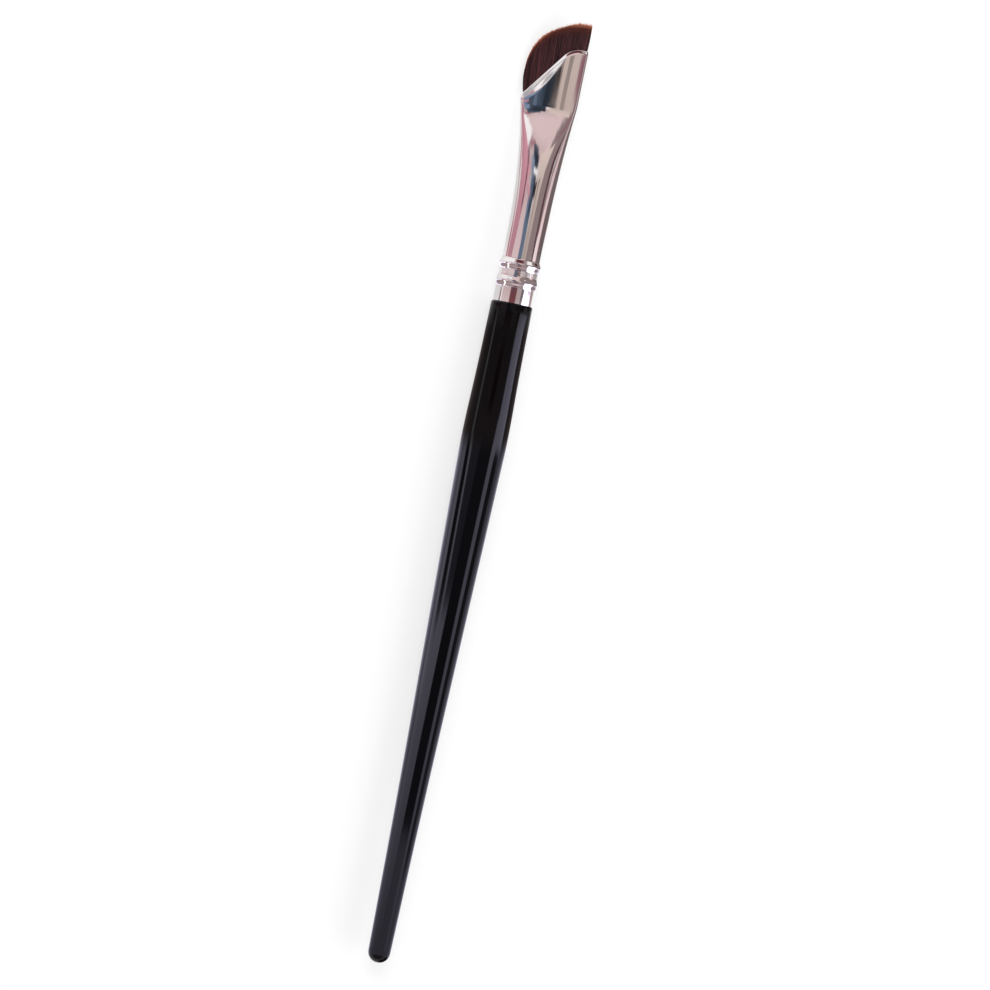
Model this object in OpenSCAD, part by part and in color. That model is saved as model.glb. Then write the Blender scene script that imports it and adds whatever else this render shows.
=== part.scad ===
/* [Handle] */
// Length of the lacquered handle, from its tail to the shoulder that the ferrule butts against
handle_len = 126; // [118:1:132]
// Diameter just before the rounded tail
tail_d = 4.2; // [3.8:0.1:4.6]
// Length of the rounded tail end
tail_dome = 2.1; // [1.5:0.1:2.6]
// Diameter where the slim tail taper meets the main taper
slim_d = 5.2; // [4.9:0.05:5.6]
// Distance of that place from the tail
slim_at = 30; // [24:1:36]
// Largest diameter, at the belly
belly_d = 8.7; // [8.5:0.1:9.2]
// Distance of the belly from the shoulder
belly_from = 25; // [23:1:27]
// Diameter of the neck above the belly
neck_d = 8.1; // [8:0.05:8.3]
// Distance of the neck from the shoulder
neck_from = 12; // [10:0.5:12]
// Diameter at the shoulder
shoulder_d = 7.9; // [7.8:0.05:8]
// Radius of the rounded edge of the shoulder
shoulder_round = 0.4; // [0.2:0.05:0.5]
// Length of the tenon that goes into the ferrule
tenon_len = 14; // [10:1:16]
// Chamfer on the end of the tenon
tenon_chamfer = 0.5; // [0.3:0.1:0.8]

/* [Ferrule] */
// Wall of the metal tube
wall = 0.35; // [0.3:0.05:0.4]
// Outer diameter of the collar next to the handle
collar_d = 7.4; // [7.3:0.05:7.5]
// Outer diameter of the round tube above the rings
tube_d = 7.1; // [7:0.05:7.2]
// Largest diameter of the two raised rings
ring_d = 7.85; // [7.7:0.05:8]
// Length of a raised ring along the brush, with its fillets
ring_w = 2.2; // [1.8:0.1:2.6]
// Distance of the lower ring from the shoulder
ring_at = 4; // [3:0.1:5]
// Distance between the two rings
ring_pitch = 3.3; // [3:0.1:3.8]
// Distance from the upper ring to the place where the tube begins to flare
flare_from = 2.7; // [1.5:0.1:4]
// Distance from the shoulder to the crease where the pressed flat begins
press_at = 36.8; // [35:0.2:37.2]
// Reach of the flattened mouth to the low side, from the middle of the handle
mouth_left = 6.25; // [5.9:0.05:6.5]
// Reach of the flattened mouth to the high side, from the middle of the handle
mouth_right = 4.6; // [4.4:0.1:4.9]
// Thickness of the flattened mouth
mouth_t = 2.5; // [2.3:0.1:2.9]
// Distance of the mouth's low corner from the shoulder
mouth_low = 39; // [38.5:0.1:41]
// Distance of the mouth's high side from the shoulder
mouth_high = 49; // [47:0.5:51]
// Angle of the slanted mouth, measured from square across
mouth_slope = 52; // [48:1:54]
// Radius where the slant turns square across
mouth_round = 4.4; // [3:0.2:5]
// Length of the rounded lip around the mouth
lip_len = 0.75; // [0.5:0.05:0.9]
// Thickness of metal left at the very edge of the lip
lip_edge = 0.1; // [0.06:0.02:0.16]

/* [Hair] */
// Reach of the hair past the high side of the mouth
hair_out = 5; // [3:0.5:7]
// Widest reach of the hair to the low side, from the middle of the handle
hair_left = 6.5; // [6.5:0.1:6.9]
// Place across the brush of the highest point of the crescent tip
crest_x = 2.5; // [2:0.1:3]
// Thickness of the hair just before its tip
hair_tip_t = 0.9; // [0.6:0.1:1.2]
// Thickness of the rounded edge at the very tip
hair_edge_t = 0.3; // [0.2:0.05:0.4]
// Depth of the hair root inside the ferrule, from the mouth's low corner
root_depth = 10; // [8:0.5:12]

/* [Glue] */
// Length of the set glue that holds the hair root
glue_len = 7; // [4:0.5:9]

/* [Fits] */
// Gap between the tenon and the bore of the ferrule
tenon_gap = 0.05; // [0.03:0.01:0.08]
// Gap between the hair and the inside of the ferrule
hair_gap = 0.03; // [0.02:0.01:0.05]
// Gap between the glue and the inside of the ferrule
glue_gap = 0.03; // [0.02:0.01:0.05]

/* [Hidden] */
$fn = 96;

// Points on one turn of a lofted section, a multiple of four
turn_n = 80;
// Steps on a rounded corner of an outline
corner_n = 8;
// Steps along one raised ring
ring_n = 16;
// Half length of the blend at each corner of the handle's outline
slim_blend = 12;
belly_blend = 5;
neck_blend = 6;
// Sharpness of the flare: the width opens a little earlier than the thickness closes
width_power = 2.4;
pinch_power = 3;
// Shares of its way out between which the hair spreads to its widest
spread_from = 0.06;
spread_to = 0.6;
// Share of its way out after which the tip of the hair is rounded off
tip_share = 0.94;

// Places along the brush, from the tail
shoulder_y = handle_len;
ring_y = [shoulder_y + ring_at, shoulder_y + ring_at + ring_pitch];
flare_y = ring_y[1] + flare_from;
press_y = shoulder_y + press_at;
low_y = shoulder_y + mouth_low;
high_y = shoulder_y + mouth_high;
root_y = low_y - root_depth;
glue_y = root_y - glue_len;
brush_len = high_y + hair_out;

// Radii and half sizes
tube_r = tube_d / 2;
bore_r = tube_r - wall;
tenon_r = bore_r - tenon_gap;
ring_rise = (ring_d - collar_d) / 2;
mouth_half = mouth_t / 2;
crest_r = hair_left + crest_x;

// The slanted mouth: where its straight line meets the square end, and the length of the rounding
knee_x = -mouth_left + (high_y - low_y) / tan(mouth_slope);
knee_run = mouth_round * tan(mouth_slope / 2);

// Shares between 0 and 1: held to that range, eased at both ends, and the mix of two values by a share
function clamp01(v) = min(1, max(0, v));
function ease(v) = pow(clamp01(v), 2) * (3 - 2 * clamp01(v));
function mix(a, b, share) = a + (b - a) * share;
function steps(from, to, count) = [for (k = [0:count]) mix(from, to, k / count)];

// How far the flare has come at a distance from the tail: its width ends at the mouth's low corner,
// and its thickness at the crease
function widening(y) = pow(clamp01((y - flare_y) / (low_y - flare_y)), width_power);
function pinching(y) = pow(clamp01((y - flare_y) / (press_y - flare_y)), pinch_power);

// Reach of the ferrule's outside to either side, and its half thickness, at a distance from the tail
function left_at(y) = mix(tube_r, mouth_left, widening(y));
function right_at(y) = mix(tube_r, mouth_right, widening(y));
function half_at(y) = mix(tube_r, mouth_half, pinching(y));

// Place of the mouth and of the crescent tip along the brush, for a place across it
function mouth_at(x) =
    x < knee_x - knee_run * cos(mouth_slope) ? low_y + (x + mouth_left) * tan(mouth_slope) :
    x > knee_x + knee_run ? high_y :
    high_y - mouth_round + sqrt(pow(mouth_round, 2) - pow(x - knee_x - knee_run, 2));
function tip_at(x) = brush_len - crest_r + sqrt(max(0, pow(crest_r, 2) - pow(x - crest_x, 2)));

// First quarter of a flat oval with round ends, by its share of the way round
function oval_quarter(share, w, h) =
    let(bend = PI * h / 2, flat = w - h, run = share * (bend + flat))
    run < bend ? [flat + h * cos(90 * run / bend), h * sin(90 * run / bend)] : [flat - run + bend, h];

// Point i of a section that turns from an ellipse into a flat oval as the share goes from 0 to 1
function section_point(i, left, right, half, share) =
    let(
        quarter = turn_n / 4,
        turn = floor(i / quarter),
        along = (i % quarter) / quarter,
        part = turn % 2 == 0 ? along : 1 - along,
        w = (left + right) / 2,
        oval = oval_quarter(part, w, half),
        x = mix(w * cos(90 * part), oval.x, share),
        z = mix(half * sin(90 * part), oval.y, share),
        side = turn == 0 || turn == 3 ? 1 : -1,
        face = turn < 2 ? 1 : -1
    )
    [(right - left) / 2 + side * x, face * z];

// Point i of the ferrule's section at a distance from the tail, moved inwards by an inset
function ferrule_point(i, y, inset) =
    section_point(i, left_at(y) - inset, right_at(y) - inset, half_at(y) - inset, pinching(y));

// Rings of points, each as [x, y, z] with y along the brush
function level_ring(y, inset) = [for (i = [0:turn_n - 1]) let(p = ferrule_point(i, y, inset)) [p.x, y, p.y]];
function mouth_of(i) = mouth_at(ferrule_point(i, low_y, 0).x);

// How much further a step square to the lip is when it is measured along the brush
function lip_stretch(i) =
    let(
        a = ferrule_point((i + turn_n - 1) % turn_n, low_y, 0),
        b = ferrule_point((i + 1) % turn_n, low_y, 0),
        rise = mouth_at(b.x) - mouth_at(a.x)
    )
    sqrt(1 + pow(rise / norm(b - a), 2));

// A ring part of the way from the last level ring to the start of the lip, and one on the lip itself
function warped_ring(share, inset) = [
    for (i = [0:turn_n - 1])
        let(
            y = mix(press_y, mouth_of(i) - lip_len * lip_stretch(i), share),
            p = ferrule_point(i, y, inset)
        )
        [p.x, y, p.y]
];
function lip_ring(share, inset) = [
    for (i = [0:turn_n - 1])
        let(
            y = mouth_of(i) - lip_len * lip_stretch(i) * (1 - share),
            p = ferrule_point(i, y, inset)
        )
        [p.x, y, p.y]
];
function lip_inset(share) = (wall - lip_edge) * (1 - sqrt(1 - pow(share, 2)));

// Faces between rings of points, and those that close the two ends of a solid loft
function side_faces(first, second) = [
    for (i = [0:turn_n - 1])
        let(j = (i + 1) % turn_n)
        for (face = [
            [first * turn_n + i, second * turn_n + j, second * turn_n + i],
            [first * turn_n + i, first * turn_n + j, second * turn_n + j]
        ]) face
];
function root_face() = [[for (i = [turn_n - 1:-1:0]) i]];
function tip_faces(ring) = [
    for (i = [0:turn_n / 2 - 1])
        let(
            base = ring * turn_n,
            low_i = base + (turn_n - i) % turn_n,
            low_j = base + turn_n - i - 1
        )
        for (face = [
            if (i < turn_n / 2 - 1) [base + i, base + i + 1, low_j],
            if (i > 0) [base + i, low_j, low_i]
        ]) face
];

// A tube from two stacks of rings, one for its outside and one for its inside
module ring_tube(outside, inside) {
    out_n = len(outside);
    all_n = out_n + len(inside);
    inside_faces = [for (k = [out_n:all_n - 2]) each side_faces(k, k + 1)];
    faces = [
        for (k = [0:out_n - 2]) each side_faces(k, k + 1),
        for (face = inside_faces) [face[0], face[2], face[1]],
        each side_faces(out_n - 1, all_n - 1),
        each side_faces(out_n, 0)
    ];
    points = [for (ring = outside) each ring, for (ring = inside) each ring];
    polyhedron(points = points, faces = faces, convexity = 6);
}

// A closed solid through a stack of rings
module ring_stack(rings) {
    count = len(rings);
    faces = [
        each root_face(),
        for (k = [0:count - 2]) each side_faces(k, k + 1),
        each tip_faces(count - 1)
    ];
    polyhedron(points = [for (ring = rings) each ring], faces = faces, convexity = 6);
}

// Outline of the handle as [radius, distance from the tail]
// The belly's corner stands out so far that its blend just reaches the belly's diameter
belly_y = shoulder_y - belly_from;
neck_y = shoulder_y - neck_from;
main_run = belly_y - slim_at;
neck_run = neck_y - belly_y;
blend_share = belly_blend / 4;
belly_corner_d = (belly_d - blend_share * (slim_d / main_run + neck_d / neck_run))
    / (1 - blend_share * (1 / main_run + 1 / neck_run));
stations = [
    [tail_d / 2, tail_dome],
    [slim_d / 2, slim_at],
    [belly_corner_d / 2, belly_y],
    [neck_d / 2, neck_y],
    [shoulder_d / 2, shoulder_y - shoulder_round]
];
blends = [0, slim_blend, belly_blend, neck_blend, 0];
function toward(from, to, run) = from + (to - from) * run / abs(to.y - from.y);
function blend_point(i, share) =
    let(
        a = toward(stations[i], stations[i - 1], blends[i]),
        b = toward(stations[i], stations[i + 1], blends[i])
    )
    mix(mix(a, stations[i], share), mix(stations[i], b, share), share);
handle_outline = [
    for (k = [0:corner_n])
        [tail_d / 2 * sin(90 * k / corner_n), tail_dome * (1 - cos(90 * k / corner_n))],
    for (i = [1:len(stations) - 2])
        for (k = [0:corner_n]) blend_point(i, k / corner_n),
    for (k = [0:corner_n])
        [
            shoulder_d / 2 - shoulder_round * (1 - cos(90 * k / corner_n)),
            shoulder_y - shoulder_round * (1 - sin(90 * k / corner_n))
        ]
];

// Outline of the ferrule's round part: the same rings stand out outside and are hollow inside
function ring_bump(y, centre) =
    abs(y - centre) < ring_w / 2 ? ring_rise * (1 + cos(360 * (y - centre) / ring_w)) / 2 : 0;
function ring_bumps(y) = ring_bump(y, ring_y[0]) + ring_bump(y, ring_y[1]);
function collar_r_at(y) = mix(collar_d / 2, tube_r, ease((y - ring_y[1]) / (ring_w / 2)));
collar_ys = [
    shoulder_y,
    for (centre = ring_y)
        for (k = [0:ring_n]) centre + ring_w * (k / ring_n - 0.5),
    flare_y
];
collar_outside = [for (y = collar_ys) [collar_r_at(y) + ring_bumps(y), y]];
collar_inside = [for (k = [len(collar_ys) - 1:-1:0]) [bore_r + ring_bumps(collar_ys[k]), collar_ys[k]]];

// How the brush comes to rest: the belly and the upper ring touch the ground, which tips the head down,
// and the brush has rolled until the low corner of the flat head touches as well
function depth(p, tip) = p.x * cos(tip) + p.y * sin(tip);
function deepest(points, tip) =
    let(depths = [for (p = points) depth(p, tip)], most = max(depths))
    [for (k = [0:len(points) - 1]) if (depths[k] == most) points[k]][0];
function tip_angle(tip, rounds) =
    let(a = deepest(handle_outline, tip), b = deepest(collar_outside, tip))
    rounds < 1 ? tip : tip_angle(atan((a.x - b.x) / (b.y - a.y)), rounds - 1);
tip_rounds = 6;
rest_tip = tip_angle(0, tip_rounds);
rest_height = max(depth(deepest(handle_outline, rest_tip), rest_tip),
    depth(deepest(collar_outside, rest_tip), rest_tip));
function axis_height(y) = (rest_height - y * sin(rest_tip)) / cos(rest_tip);
function roll_to_touch(y, left, half) = asin(clamp01((axis_height(y) - half) / (left - half)));

// Reach of the hair to the low side, and its half thickness, on its way from the mouth to the tip
hair_inset = wall + hair_gap;
mouth_hair_left = mouth_left - hair_inset;
mouth_hair_half = mouth_half - hair_inset;
hair_right = mouth_right - hair_inset;
function spread(share) = sin(90 * clamp01((share - spread_from) / (spread_to - spread_from)));
function hair_left_at(share) = mix(mouth_hair_left, hair_left, spread(share));
function tip_rounding(share) =
    share < tip_share ? 1 : sqrt(max(0, 1 - pow((share - tip_share) / (1 - tip_share), 2)));
function hair_half_at(share) =
    let(full = mix(mouth_hair_half, hair_tip_t / 2, ease(share / tip_share)))
    mix(hair_edge_t / 2, full, tip_rounding(share));
hair_edge_y = tip_at(-hair_left);
// Places at which the reach of the head is looked at
reach_n = 40;
rest_roll = min([
    for (y = steps(flare_y, low_y, reach_n)) roll_to_touch(y, left_at(y), half_at(y)),
    for (share = steps(0, 1, reach_n))
        roll_to_touch(mix(low_y, hair_edge_y, share), hair_left_at(share), hair_half_at(share))
]);
function rolled_reach(reach, half) = (reach - half) * cos(rest_roll) + half;
low_reach = max(rolled_reach(mouth_left, mouth_half),
    max([for (share = steps(0, 1, reach_n)) rolled_reach(hair_left_at(share), hair_half_at(share))]));
high_reach = max(belly_d / 2, rolled_reach(mouth_right, mouth_half));

// Moves a piece from the brush's own straight position to the way the brush lies
module lying() {
    translate([(low_reach - high_reach) / 2, -brush_len * cos(rest_tip) / 2, rest_height])
        rotate([-rest_tip, 0, 0])
            rotate([0, -rest_roll, 0])
                children();
}

// Turns an outline of [radius, distance from the tail] about the middle of the brush
module turned(outline) {
    rotate([-90, 0, 0])
        rotate_extrude()
            polygon(outline);
}

// One turned piece of wood: rounded tail, two tapers, belly, neck, shoulder and tenon
module handle() {
    tenon_end = shoulder_y + tenon_len;
    color([0.05, 0.05, 0.07])
        lying()
            turned([
                each handle_outline,
                [tenon_r, shoulder_y],
                [tenon_r, tenon_end - tenon_chamfer],
                [tenon_r - tenon_chamfer, tenon_end],
                [0, tenon_end]
            ]);
}

// The ferrule's flattened part starts inside the wall of the round part, a little in from both of its faces
seam_lap = 0.3;
seam_step = 0.01;
// Rings on the flare, on the way to the mouth and on the lip
flare_n = 20;
warp_n = 6;
lip_n = 6;
// Places of the inside's rings: below the glue, along it and along the root of the hair
plain_n = 4;
glue_n = 5;
root_n = 5;
plain_ys = steps(flare_y, glue_y, plain_n);
glue_ys = steps(glue_y, root_y, glue_n);
root_ys = steps(root_y, press_y, root_n);
outer_rings = [
    level_ring(flare_y - seam_lap, seam_step),
    for (k = [1:flare_n]) level_ring(mix(flare_y, press_y, k / flare_n), 0),
    for (k = [1:warp_n]) warped_ring(k / warp_n, 0),
    for (k = [1:lip_n]) lip_ring(sin(90 * k / lip_n), lip_inset(sin(90 * k / lip_n)))
];
inner_rings = [
    level_ring(flare_y - seam_lap, wall - seam_step),
    for (k = [1:plain_n]) level_ring(plain_ys[k], wall),
    for (k = [1:glue_n]) level_ring(glue_ys[k], wall),
    for (k = [1:root_n]) level_ring(root_ys[k], wall),
    for (k = [1:warp_n]) warped_ring(k / warp_n, wall),
    lip_ring(1, wall)
];

// One drawn tube: collar with two raised rings, then flattened towards the slanted mouth
module ferrule() {
    color([0.82, 0.78, 0.78])
        lying() {
            turned([each collar_outside, each collar_inside]);
            ring_tube(outer_rings, inner_rings);
        }
}

// Rings of the tuft past the mouth, along its body and round its tip
body_n = 8;
edge_n = 4;
out_shares = [
    0,
    for (share = steps(spread_from, tip_share, body_n)) share,
    for (k = [1:edge_n]) mix(tip_share, 1, sin(90 * k / edge_n))
];
function hair_section(i, share) =
    section_point(i, hair_left_at(share), hair_right, hair_half_at(share), 1);
function hair_ring(share) = [
    for (i = [0:turn_n - 1])
        let(
            p = hair_section(i, share),
            y = mix(mouth_of(i), tip_at(hair_section(i, 1).x), share)
        )
        [p.x, y, p.y]
];

// The tuft of hair, as the solid that its outside bounds
module bristles() {
    color([0.25, 0.12, 0.13])
        lying()
            ring_stack([
                for (y = root_ys) level_ring(y, hair_inset),
                for (k = [1:warp_n]) warped_ring(k / warp_n, hair_inset),
                for (share = out_shares) hair_ring(share)
            ]);
}

// The set glue inside the ferrule, on which the root of the hair stands
module glue_plug() {
    color([0.78, 0.62, 0.34])
        lying()
            ring_stack([for (y = glue_ys) level_ring(y, wall + glue_gap)]);
}

handle();
ferrule();
bristles();
glue_plug();
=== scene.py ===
"""The looks of an eyeliner brush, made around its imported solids.

The handle is turned and lacquered, the ferrule is a spun tube that is then pressed flat, and the
tuft is made of single fine hairs. Each piece is modelled straight, with the brush's tail at the
origin and its length along y, and is then laid down the way the solids lie.
"""
import math
import random

import bmesh
import bpy
from mathutils import Matrix, Vector, noise


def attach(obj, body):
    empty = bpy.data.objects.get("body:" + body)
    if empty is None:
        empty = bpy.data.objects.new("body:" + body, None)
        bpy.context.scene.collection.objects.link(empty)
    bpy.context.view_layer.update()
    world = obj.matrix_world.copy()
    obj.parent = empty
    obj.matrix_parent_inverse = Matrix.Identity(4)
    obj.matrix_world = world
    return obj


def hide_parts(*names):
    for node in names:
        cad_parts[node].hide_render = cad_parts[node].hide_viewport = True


bl_info = {
    "name": "Eyeliner Brush",
    "version": (1, 0, 0),
    "blender": (4, 5, 0),
    "location": "3D View > Sidebar > Brush",
    "description": "Makes the lacquer, metal and hair of an eyeliner brush around its solid parts",
    "category": "Object",
}

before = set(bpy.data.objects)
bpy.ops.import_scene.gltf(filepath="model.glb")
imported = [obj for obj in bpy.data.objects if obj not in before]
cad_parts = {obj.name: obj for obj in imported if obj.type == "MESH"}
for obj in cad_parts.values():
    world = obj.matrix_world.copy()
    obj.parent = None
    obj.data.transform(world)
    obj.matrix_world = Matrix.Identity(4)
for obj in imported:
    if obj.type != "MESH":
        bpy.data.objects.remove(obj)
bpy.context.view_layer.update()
BODY = "root"

# Photograph: its width in pixels, the real size of one pixel at the brush, and the brush's lean
PHOTO_WIDTH = 990
PIXEL = 0.0001873
LEAN = math.radians(11.58)

# Two points of a solid closer than this are one
SAME_POINT = 5e-6

# Ferrule: the mouth's angle from square across, how the width opens and the thickness closes along
# the flare, how softly the closing ends at the crease, and a small step round the section
MOUTH_SLANT = math.radians(52)
FLARE_POWER = 2.4
PRESS_POWER = 3
CREASE_SOFT = 0.2
LIP_STEP = 0.01

# Ferrule: the stretch below the lip with closer rings, how straight the lip falls, the facet's two
# powers and soft end, and the groove's place and width
NEAR_LIP = 0.0004
LIP_CONE = 0.75
FACET_LEAN = 1.4
FACET_POWER = 0.8
FACET_SOFT = 0.00035
GROOVE_AT = 0.0001
GROOVE_WIDTH = 0.00008

# Ferrule: how far past the middle the facet runs to the high side
FACET_END = 0.0006

# Ferrule: rings of points from the collar to the mouth, on the outside and on the inside
COLLAR_RINGS = 110
FLARE_RINGS = 80
FLAT_RINGS = 36
NEAR_LIP_RINGS = 12
LIP_RINGS = 18
INNER_COLLAR_RINGS = 60
INNER_FLARE_RINGS = 40
INNER_FLAT_RINGS = 24

# Angles past which an edge of the lacquer and of the metal is shown sharp
LACQUER_SHARP = math.radians(50)
METAL_SHARP = math.radians(60)

# Hair: how far the hidden part is pulled inwards at the low and high side, the share of a hair over
# which it spreads, and the taper at its tip
PULL_LOW = 0.28
PULL_HIGH = 0.12
SPREAD_SHARE = 0.9
TAPER_LENGTH = 0.0022
TAPER_END = 0.3

# Hair: the shallow dip in the crescent's outline, with its depth, place and width
DIP_DEPTH = 0.0004
DIP_X = -0.0012
DIP_WIDTH = 0.0026

# Hair: its gap to the ferrule, the share of the wall kept at the high side, how the hairs crowd to
# the faces, how far their roots fill the mouth and how far they close to the tip's thickness
HAIR_GAP = 0.00005
HIGH_WALL = 0.8
FACE_CROWD = 0.6
ROOT_FILL = 0.94
TIP_CLOSE = 0.96

# Hair: the locks, as waves to the metre across and through the tuft and the slice of the noise
# taken, how far a lock shifts sideways, and how much shorter it can be
LOCK_ACROSS = 2600
LOCK_THROUGH = 900
LOCK_SLICE = 3.7
LOCK_SHIFT = 0.00012
LOCK_SHORT = 0.00014

# Hair: chance differences of single hairs at the tip, in each direction and in length, the share of
# hairs that stand out and by how much, and how far a hair bows
STRAY_ACROSS = 0.00005
STRAY_THROUGH = 0.00004
STRAY_SHORT = 0.00022
ALL_LONGER = 0.0001
LONG_CHANCE = 0.1
LONG_LEAST = 0.0001
LONG_MOST = 0.00045
BOW = 0.00006

# Hair: cuts along each one, and how much closer they lie towards its tip
HAIR_CUTS = 5
CUT_POWER = 0.8

# Glue: its deep and its pale amber
GLUE_DEEP = (0.42, 0.22, 0.06)
GLUE_PALE = (0.74, 0.52, 0.24)

# Length at the tail over which the lacquer thins
WORN_LENGTH = 0.0012


def clamp(value):
    """Holds a share between 0 and 1."""
    return min(1.0, max(0.0, value))


def mix(a, b, share):
    """The value that lies a share of the way from a to b."""
    return a + (b - a) * share


def ease(value):
    """A share that starts and ends gently."""
    value = clamp(value)
    return value * value * (3 - 2 * value)


def lesser(a, b, soft):
    """The lesser of two values, with the corner where they cross rounded."""
    share = clamp(0.5 + 0.5 * (b - a) / soft)
    return mix(b, a, share) - soft * share * (1 - share)


def steps(start, end, count):
    """Values from start to end in equal steps, with both ends."""
    return [mix(start, end, k / count) for k in range(count + 1)]


def solid_points(name):
    """The corners of a solid, as they lie."""
    return [vertex.co.copy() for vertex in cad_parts[name].data.vertices]


def find_brush():
    """The matrix that lays the straight brush down the way the solids lie."""
    handle = solid_points("handle")
    tail = min(handle, key=lambda point: point.y)
    reach = max((point - tail).length for point in handle)
    far = [point for point in handle if (point - tail).length > reach - SAME_POINT]
    rim = {tuple(round(v, 6) for v in point) for point in far}
    end = sum((Vector(point) for point in rim), Vector()) / len(rim)
    along = (end - tail).normalized()
    offsets = [point - tail - along * (point - tail).dot(along) for point in solid_points("ferrule")]
    high_side = -max(offsets, key=lambda offset: offset.length).normalized()
    face = high_side.cross(along)
    turn = Matrix((high_side, along, face)).transposed().to_4x4()
    return Matrix.Translation(tail) @ turn


BRUSH = find_brush()


def straight_points(name):
    """The corners of a solid, with the brush straight again."""
    back = BRUSH.inverted()
    return [back @ point for point in solid_points(name)]


def turned_outline(name):
    """The outline of a turned solid as (radius, distance from the tail), from the tail up."""
    outline = []
    found = sorted((round(point.y, 6), -math.hypot(point.x, point.z)) for point in straight_points(name))
    for y, minus_radius in found:
        if all(math.hypot(r + minus_radius, y - at) > SAME_POINT for r, at in outline[-8:]):
            outline.append((-minus_radius, y))
    return outline


FERRULE_START = min(point.y for point in straight_points("ferrule"))
BRUSH_LENGTH = max(point.y for point in straight_points("bristles"))


def length_prop(name, default, description):
    """A length that a user may change, in metres."""
    return bpy.props.FloatProperty(
        name=name,
        description=description,
        default=default,
        unit="LENGTH",
        subtype="DISTANCE",
        precision=5,
    )


def share_prop(name, default, description):
    """A share between 0 and 1 that a user may change."""
    return bpy.props.FloatProperty(
        name=name, description=description, default=default, min=0.0, max=1.0, subtype="FACTOR"
    )


def colour_prop(name, default, description):
    """A colour that a user may change."""
    return bpy.props.FloatVectorProperty(
        name=name, description=description, default=default, size=3, min=0.0, max=1.0, subtype="COLOR"
    )


def count_prop(name, default, description):
    """A count that a user may change."""
    return bpy.props.IntProperty(name=name, description=description, default=default, min=1)


class BrushHandleSettings(bpy.types.PropertyGroup):
    """Sizes and colours of the lacquered handle."""

    turn_count: count_prop("Turn steps", 192, "Steps in one turn of the handle")
    ring_gap: length_prop("Ring gap", 0.0015, "Longest stretch between two rings of the handle")
    lacquer: colour_prop("Lacquer", (0.0012, 0.001, 0.0014), "Colour of the lacquer")
    worn: colour_prop("Tail", (0.022, 0.009, 0.006), "Colour of the thin lacquer at the very tail")


class BrushFerruleSettings(bpy.types.PropertyGroup):
    """Sizes and colours of the metal ferrule."""

    turn_count: count_prop("Turn steps", 240, "Steps in one turn of the tube")
    wall: length_prop("Wall", 0.00035, "Thickness of the metal")
    collar_r: length_prop("Collar radius", 0.0037, "Radius next to the handle")
    tube_r: length_prop("Tube radius", 0.00355, "Radius above the rings")
    ring_rise: length_prop("Ring rise", 0.000225, "Height of a raised ring")
    ring_width: length_prop("Ring width", 0.0022, "Length of a raised ring along the brush")
    ring_at: length_prop("Lower ring", 0.004, "Distance of the lower ring from the shoulder")
    ring_pitch: length_prop("Ring pitch", 0.0033, "Distance between the two rings")
    flare_at: length_prop("Flare", 0.010, "Distance from the shoulder at which the tube begins to flare")
    press_at: length_prop("Crease", 0.0360, "Distance from the shoulder to the crease of the pressed flat")
    low_at: length_prop("Low corner", 0.039, "Distance of the mouth's low corner from the shoulder")
    high_at: length_prop("High side", 0.049, "Distance of the mouth's high side from the shoulder")
    left: length_prop("Low side reach", 0.00625, "Reach of the mouth to its low side")
    right: length_prop("High side reach", 0.0046, "Reach of the mouth to its high side")
    half: length_prop("Half thickness", 0.00125, "Half the thickness of the pressed flat")
    crown_r: length_prop("Crown radius", 0.024, "Radius of the slight crown of the pressed flat")
    wedge: share_prop("Wedge", 0.10, "How much thicker the flat is at its high side than at its middle")
    side_bevel: share_prop("Side bevel", 0.45, "How much of the lip's slope shows at the two narrow sides")
    facet_slope: share_prop("Facet slope", 0.2, "Slope of the facet between the flat and the slanted lip")
    facet_width: length_prop("Facet width", 0.0016, "Width of the facet half way along the slanted lip")
    groove: length_prop("Groove", 0.00003, "Depth of the fine groove below the lip")
    mouth_round: length_prop("Mouth rounding", 0.0044, "Radius where the slant turns square across")
    lip: length_prop("Lip", 0.00085, "Length of the rounded lip at the mouth's low corner")
    lip_narrow: share_prop("Lip narrowing", 0.6, "Length of the lip at the mouth's high side, as a share")
    lip_edge: length_prop("Lip edge", 0.0001, "Metal left at the very edge of the lip")
    metal: colour_prop("Metal", (0.88, 0.85, 0.85), "Colour of the plated metal")


class BrushHairSettings(bpy.types.PropertyGroup):
    """Sizes and colours of the hair."""

    doublings: count_prop("Doublings", 12, "The number of hairs is two to this power")
    hair_r: length_prop("Hair radius", 0.000038, "Radius of one hair")
    left: length_prop("Spread", 0.0065, "Widest reach of the hair to the low side")
    mouth_left: length_prop("Mouth spread", 0.00600, "Reach of the hair to the low side at the mouth")
    crest_x: length_prop("Crest", 0.0033, "Place across the brush of the highest point of the tip")
    tip_half: length_prop("Tip half thickness", 0.00045, "Half the tuft's thickness just before its tip")
    edge_half: length_prop("Edge half thickness", 0.0002, "Half the thickness of the tuft at its very tip")
    hidden: length_prop("Hidden length", 0.003, "Length of each hair inside the mouth")
    seed: bpy.props.IntProperty(name="Seed", description="Seed of the hairs' chance differences", default=7)
    body: colour_prop("Body", (0.056, 0.016, 0.017), "Colour of the hair")
    shade: colour_prop("Shade", (0.012, 0.003, 0.005), "Colour of the hair's darker locks")
    rust: colour_prop("Rust", (0.125, 0.028, 0.018), "Colour of the hair below its tips")
    tip: colour_prop("Tip", (0.70, 0.25, 0.14), "Colour of the hair's tips")
    tip_length: length_prop("Tip length", 0.0021, "Length over which the hair takes its tips' colour")


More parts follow.
